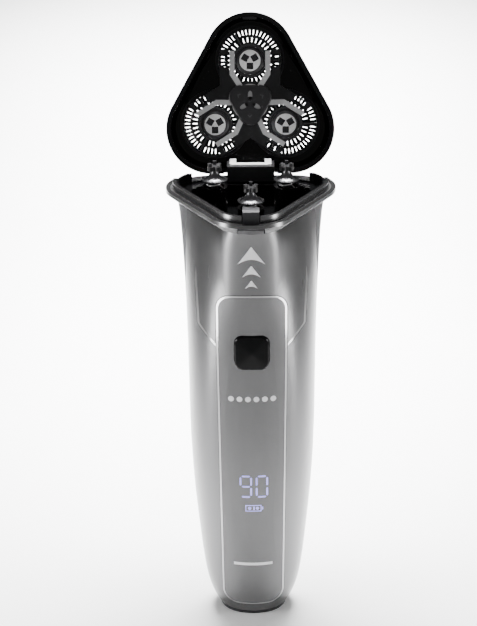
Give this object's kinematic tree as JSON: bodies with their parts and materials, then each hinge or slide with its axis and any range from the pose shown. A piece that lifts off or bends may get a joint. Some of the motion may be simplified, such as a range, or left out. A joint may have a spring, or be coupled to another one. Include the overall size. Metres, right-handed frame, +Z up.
{
  "type": "electric shaver",
  "caption": "Cordless rotary shaver standing on its foot, shaving head folded open on its rear hinge to show sprung cutters, drive spindles and hair chamber.",
  "frame": {"origin": "middle of the charging inlet in the plane of the foot", "axes": "+Z up along the grip, front with the display towards -Y, +X to the right"},
  "size_m": [0.0582, 0.0845, 0.2083],
  "materials": {
    "silver_shell": "satin metallic lacquer",
    "silver_rim": "satin chrome plating",
    "bright_trim": "polished",
    "plate_grey": "satin smoked lacquer",
    "soft_grip": "soft touch",
    "black_gloss": "gloss",
    "black_satin": "satin",
    "dark_grey": "satin",
    "light_grey": "satin",
    "gasket": "matt",
    "chrome": "polished",
    "steel": "brushed",
    "spring_steel": "bright",
    "nylon": "satin",
    "battery_wrap": "shrink film",
    "board": "solder mask",
    "nickel": "plain"
  },
  "bodies": {
    "root": {"base_foot": "black_satin", "battery": "battery_wrap", "battery_tabs": "nickel", "chamber_screws": "steel", "charge_socket": "steel", "chassis": "black_satin", "circuit_board": "board", "display_bezel": "bright_trim", "display_module": "light_grey", "face_plate": "plate_grey", "front_panel": "silver_shell", "front_shell": "silver_shell", "gear_plate": "black_satin", "hair_chamber": "black_gloss", "hinge_bracket": "black_satin", "hinge_pin": "spring_steel", "hinge_plate": "light_grey", "motor_can": "nickel", "panel_trim": "bright_trim", "rear_shell": "soft_grip", "rim_gasket": "gasket", "rim_ring": "silver_rim", "tact_switch": "dark_grey"},
    "rotor": {"motor_shaft": "steel", "motor_armature": "steel", "drive_gear": "nylon"},
    "gear_1": {"spindle_gear_1": "nylon", "spindle_spring_1": "spring_steel"},
    "gear_2": {"spindle_gear_2": "nylon", "spindle_spring_2": "spring_steel"},
    "gear_3": {"spindle_gear_3": "nylon", "spindle_spring_3": "spring_steel"},
    "spindle_1": {"spindle_skirt_1": "chrome", "spindle_tip_1": "black_satin"},
    "spindle_2": {"spindle_skirt_2": "chrome", "spindle_tip_2": "black_satin"},
    "spindle_3": {"spindle_skirt_3": "chrome", "spindle_tip_3": "black_satin"},
    "release": {"latch_hook": "dark_grey", "release_button": "dark_grey"},
    "power_button": {"power_button": "black_gloss"},
    "head": {"head_cover": "black_gloss", "retaining_frame": "black_satin", "retaining_springs": "spring_steel", "hinge_leaf": "dark_grey", "head_catch": "black_satin"},
    "lock_knob": {"lock_knob": "black_satin", "lock_stem": "black_satin"},
    "guard_1": {"guard_1": "steel"},
    "guard_2": {"guard_2": "steel"},
    "guard_3": {"guard_3": "steel"},
    "cutter_1": {"cutter_blades_1": "spring_steel", "cutter_carrier_1": "dark_grey"},
    "cutter_2": {"cutter_blades_2": "spring_steel", "cutter_carrier_2": "dark_grey"},
    "cutter_3": {"cutter_blades_3": "spring_steel", "cutter_carrier_3": "dark_grey"}
  },
  "joints": [
    {"name": "head_hinge", "type": "hinge", "parent": "root", "child": "head", "pos_m": [0, 0.0258, 0.1562], "axis": [1, 0, 0], "range_deg": [0, 106]},
    {"name": "motor_spin", "type": "hinge", "parent": "root", "child": "rotor", "pos_m": [0, 0.00337, 0.1368], "axis": [0, 0, 1], "continuous": true},
    {"name": "gear_spin_1", "type": "hinge", "parent": "root", "child": "gear_1", "pos_m": [0, -0.01115, 0.1392], "axis": [0, 0, 1], "continuous": true},
    {"name": "spindle_plunge_1", "type": "slide", "parent": "gear_1", "child": "spindle_1", "axis": [0, 0, -1], "range_m": [0, 0.0015], "stiffness_N_per_m": 400, "springref_m": -0.0008, "deforming": ["spindle_spring_1"]},
    {"name": "guard_float_1", "type": "slide", "parent": "head", "child": "guard_1", "axis": [0, -0.9613, 0.2756], "range_m": [0, 0.0012], "stiffness_N_per_m": 400, "springref_m": -0.0006},
    {"name": "cutter_spin_1", "type": "hinge", "parent": "guard_1", "child": "cutter_1", "pos_m": [0, 0.04175, 0.19007], "axis": [0, 0.9613, -0.2756], "continuous": true},
    {"name": "gear_spin_2", "type": "hinge", "parent": "root", "child": "gear_2", "pos_m": [0.01232, 0.01105, 0.1392], "axis": [0, 0, 1], "continuous": true},
    {"name": "spindle_plunge_2", "type": "slide", "parent": "gear_2", "child": "spindle_2", "axis": [0, 0, -1], "range_m": [0, 0.0015], "stiffness_N_per_m": 400, "springref_m": -0.0008, "deforming": ["spindle_spring_2"]},
    {"name": "guard_float_2", "type": "slide", "parent": "head", "child": "guard_2", "axis": [0, -0.9613, 0.2756], "range_m": [0, 0.0012], "stiffness_N_per_m": 400, "springref_m": -0.0006},
    {"name": "cutter_spin_2", "type": "hinge", "parent": "guard_2", "child": "cutter_2", "pos_m": [0.01232, 0.03563, 0.16873], "axis": [0, 0.9613, -0.2756], "continuous": true},
    {"name": "gear_spin_3", "type": "hinge", "parent": "root", "child": "gear_3", "pos_m": [-0.01232, 0.01105, 0.1392], "axis": [0, 0, 1], "continuous": true},
    {"name": "spindle_plunge_3", "type": "slide", "parent": "gear_3", "child": "spindle_3", "axis": [0, 0, -1], "range_m": [0, 0.0015], "stiffness_N_per_m": 400, "springref_m": -0.0008, "deforming": ["spindle_spring_3"]},
    {"name": "guard_float_3", "type": "slide", "parent": "head", "child": "guard_3", "axis": [0, -0.9613, 0.2756], "range_m": [0, 0.0012], "stiffness_N_per_m": 400, "springref_m": -0.0006},
    {"name": "cutter_spin_3", "type": "hinge", "parent": "guard_3", "child": "cutter_3", "pos_m": [-0.01232, 0.03563, 0.16873], "axis": [0, 0.9613, -0.2756], "continuous": true},
    {"name": "lock_turn", "type": "hinge", "parent": "head", "child": "lock_knob", "pos_m": [0, 0.03544, 0.17677], "axis": [0, 0.9613, -0.2756], "range_deg": [0, 60]},
    {"name": "power_press", "type": "slide", "parent": "root", "child": "power_button", "axis": [0, 1, 0], "range_m": [0, 0.0008], "stiffness_N_per_m": 1500, "springref_m": -0.0004},
    {"name": "release_press", "type": "slide", "parent": "root", "child": "release", "axis": [0, 1, 0], "range_m": [0, 0.001], "stiffness_N_per_m": 1500, "springref_m": -0.0005}
  ],
  "couplings": [
    {"joint": "gear_spin_1", "follows": "motor_spin", "ratio": -1},
    {"joint": "gear_spin_2", "follows": "motor_spin", "ratio": -1},
    {"joint": "gear_spin_3", "follows": "motor_spin", "ratio": -1},
    {"joint": "cutter_spin_1", "follows": "motor_spin", "ratio": -1},
    {"joint": "cutter_spin_2", "follows": "motor_spin", "ratio": -1},
    {"joint": "cutter_spin_3", "follows": "motor_spin", "ratio": -1}
  ]
}
